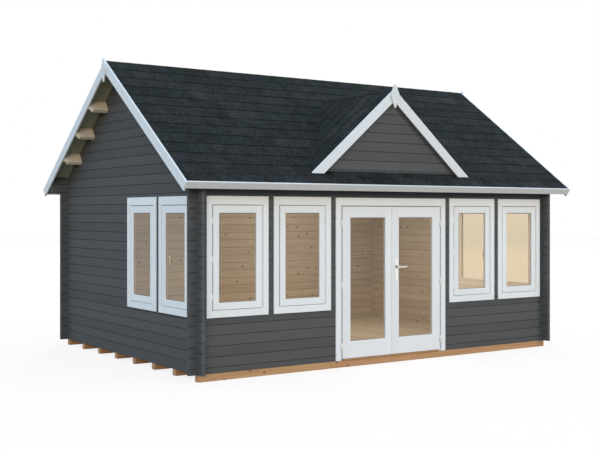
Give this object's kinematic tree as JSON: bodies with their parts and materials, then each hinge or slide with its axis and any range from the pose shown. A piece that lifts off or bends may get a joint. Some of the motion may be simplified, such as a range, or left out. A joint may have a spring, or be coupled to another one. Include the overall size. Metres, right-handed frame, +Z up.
{
  "type": "garden house",
  "caption": "Log garden house with interlocking corners, glazed double door, casement windows, false front dormer and shingled gable roof on timber bearers.",
  "frame": {"origin": "on the ground under the middle of the house", "axes": "+Z up, -Y out of the front with the door and the dormer, +X to the right seen from the front"},
  "size_m": [5.866, 4.2364, 3.6713],
  "materials": {
    "wall_paint": "dark grey satin stain outside, bare pine inside",
    "trim_paint": "white satin paint",
    "pine": "bare planed pine",
    "bearer_wood": "brown treated timber",
    "shingle": "charcoal mineral granules on bitumen",
    "glass": "clear",
    "steel": "satin",
    "handle_paint": "cream satin"
  },
  "bodies": {
    "house": {"bearers": "bearer_wood", "floor": "pine", "front_wall_left": "wall_paint", "front_wall_right": "wall_paint", "front_wall_header": "wall_paint", "back_wall": "wall_paint", "left_gable_wall": "wall_paint", "right_gable_wall": "wall_paint", "ridge_purlin": "pine", "front_purlins": "pine", "back_purlins": "pine", "front_roof_boards": "pine", "back_roof_boards": "pine", "front_shingles": "shingle", "back_shingles": "shingle", "front_fascia": "trim_paint", "back_fascia": "trim_paint", "left_bargeboards": "trim_paint", "right_bargeboards": "trim_paint", "left_finial": "trim_paint", "right_finial": "trim_paint", "dormer_wall": "wall_paint", "dormer_roof_boards": "pine", "dormer_shingles": "shingle", "dormer_bargeboards": "trim_paint", "dormer_finial": "trim_paint", "front_window_frames": "trim_paint", "left_window_frames": "trim_paint", "right_window_frames": "trim_paint", "front_window_sashes": "trim_paint", "left_window_sashes": "trim_paint", "right_window_sashes": "trim_paint", "front_window_glass": "glass", "left_window_glass": "glass", "right_window_glass": "glass", "door_frame": "trim_paint", "door_hinges": "steel"},
    "left_door": {"left_door": "trim_paint", "left_door_glass": "glass"},
    "right_door": {"right_door": "trim_paint", "right_door_glass": "glass", "handle_plates": "handle_paint"},
    "door_lever": {"door_lever": "steel"}
  },
  "joints": [
    {"name": "left_door_hinge", "type": "hinge", "parent": "house", "child": "left_door", "pos_m": [-0.7655, -1.897, 0.97], "axis": [0, 0, -1], "range_deg": [0, 110]},
    {"name": "right_door_hinge", "type": "hinge", "parent": "house", "child": "right_door", "pos_m": [0.7655, -1.897, 0.97], "axis": [0, 0, 1], "range_deg": [0, 110]},
    {"name": "door_lever_turn", "type": "hinge", "parent": "right_door", "child": "door_lever", "pos_m": [0.057, -1.876, 1.154], "axis": [0, 1, 0], "range_deg": [0, 40], "stiffness_Nm_per_rad": 2.5, "springref_deg": -20.05}
  ]
}
